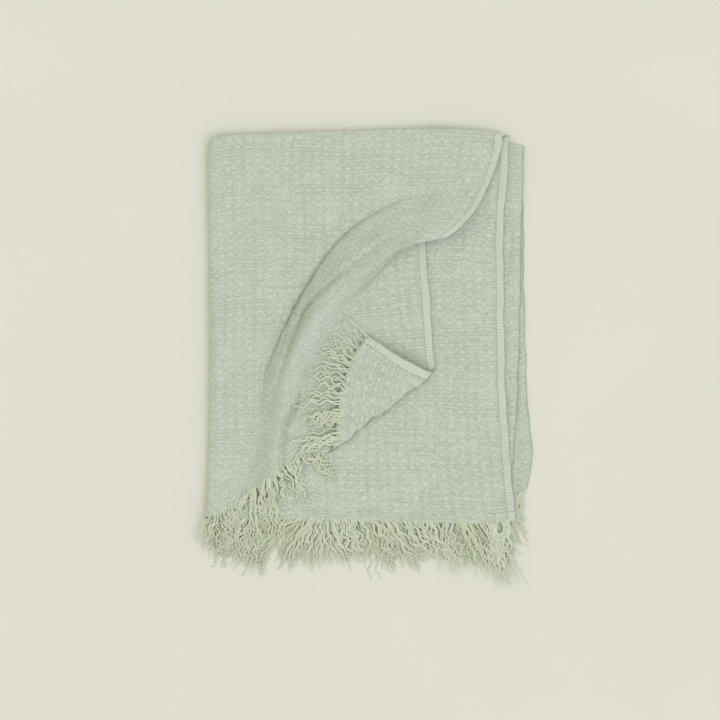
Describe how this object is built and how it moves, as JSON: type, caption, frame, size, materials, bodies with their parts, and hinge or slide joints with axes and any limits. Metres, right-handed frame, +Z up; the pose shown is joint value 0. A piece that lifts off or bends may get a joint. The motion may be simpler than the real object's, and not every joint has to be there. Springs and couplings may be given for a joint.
{
  "type": "folded linen throw",
  "caption": "Pale sage waffle-weave linen throw with plain side hems and fringed ends, folded in quarters with its top corner drawn back and turned over.",
  "frame": {"origin": "middle of the folded stack, on the underside that rests on a surface", "axes": "+Y towards the top fold, with the fringe towards -Y; +X towards the open hems, with the second fold towards -X; +Z up through the layers"},
  "size_m": [0.7537, 0.9696, 0.0514],
  "materials": {
    "linen_cloth": "matte waffle-woven linen, pale sage, with plain hems along the long sides",
    "fringe_yarn": "loose wavy linen yarn, pale sage"
  },
  "bodies": {
    "root": {"cloth": "linen_cloth", "fringe_first": "fringe_yarn", "fringe_flap": "fringe_yarn", "fringe_second": "fringe_yarn", "fringe_third": "fringe_yarn", "fringe_fourth": "fringe_yarn"}
  },
  "joints": []
}
